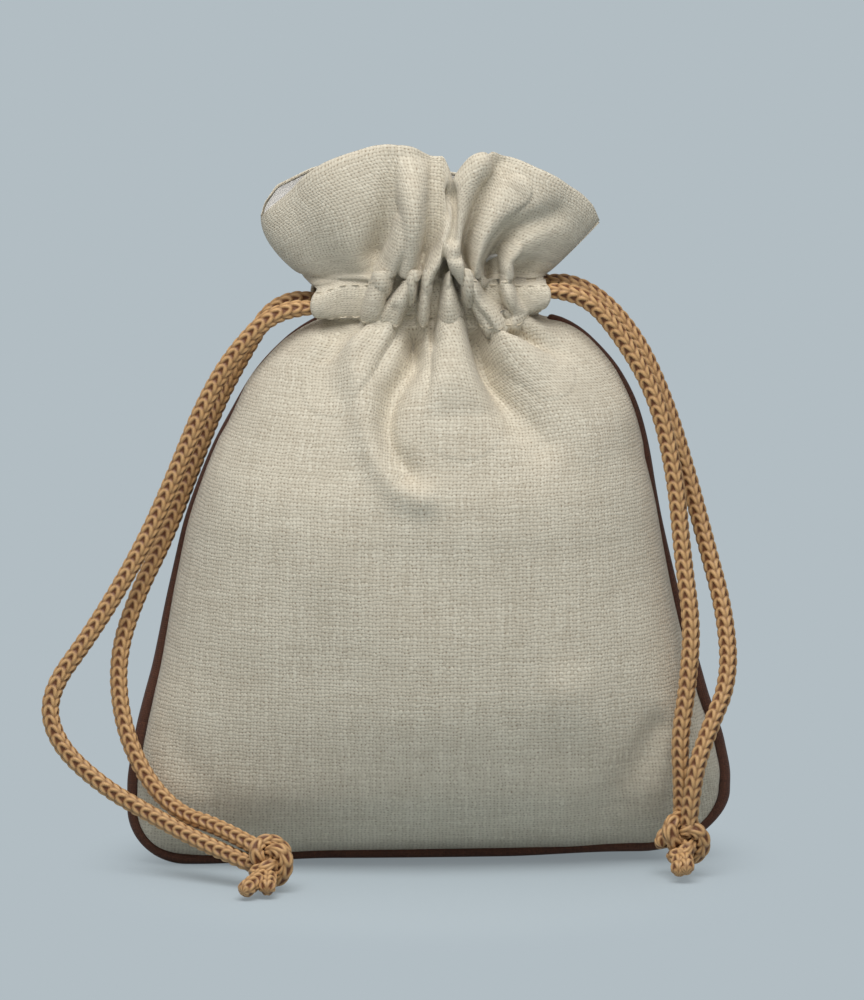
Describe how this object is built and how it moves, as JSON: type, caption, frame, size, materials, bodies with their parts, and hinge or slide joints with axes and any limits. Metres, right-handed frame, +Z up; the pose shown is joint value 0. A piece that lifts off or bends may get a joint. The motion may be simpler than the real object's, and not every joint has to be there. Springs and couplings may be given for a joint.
{
  "type": "drawstring gift pouch",
  "caption": "Lined cloth gift pouch, drawn shut at the neck by two knotted drawstrings, with a flared frill and corded piping round its side and bottom seam.",
  "frame": {"origin": "middle of the pouch's box, drawstrings left out, at the height of the surface that it stands on", "axes": "+Z up, +X to the right seen from the front, the front panel faces -Y"},
  "size_m": [0.1473, 0.0792, 0.1545],
  "materials": {
    "linen": "natural plain-weave linen, matte",
    "lining": "white cotton, matte",
    "piping": "dark brown bias-cut cotton, matte",
    "filler": "twisted cotton cord",
    "drawstring": "golden tan knitted cord, slight sheen"
  },
  "bodies": {
    "pouch": {"front_panel": "linen", "back_panel": "linen", "front_casing": "linen", "back_casing": "linen", "front_frill": "linen", "back_frill": "linen", "front_lining": "lining", "back_lining": "lining", "piping_cover": "piping", "piping_filler": "filler"},
    "left_cord": {"left_cord_loop": "drawstring", "left_front_strand": "drawstring", "left_back_strand": "drawstring", "left_knot": "drawstring"},
    "right_cord": {"right_cord_loop": "drawstring", "right_front_strand": "drawstring", "right_back_strand": "drawstring", "right_knot": "drawstring"}
  },
  "joints": [
    {"name": "left_cord_pull", "type": "slide", "parent": "pouch", "child": "left_cord", "axis": [-1, 0, 0], "range_m": [0, 0.008]},
    {"name": "right_cord_pull", "type": "slide", "parent": "pouch", "child": "right_cord", "axis": [1, 0, 0], "range_m": [0, 0.008]}
  ]
}
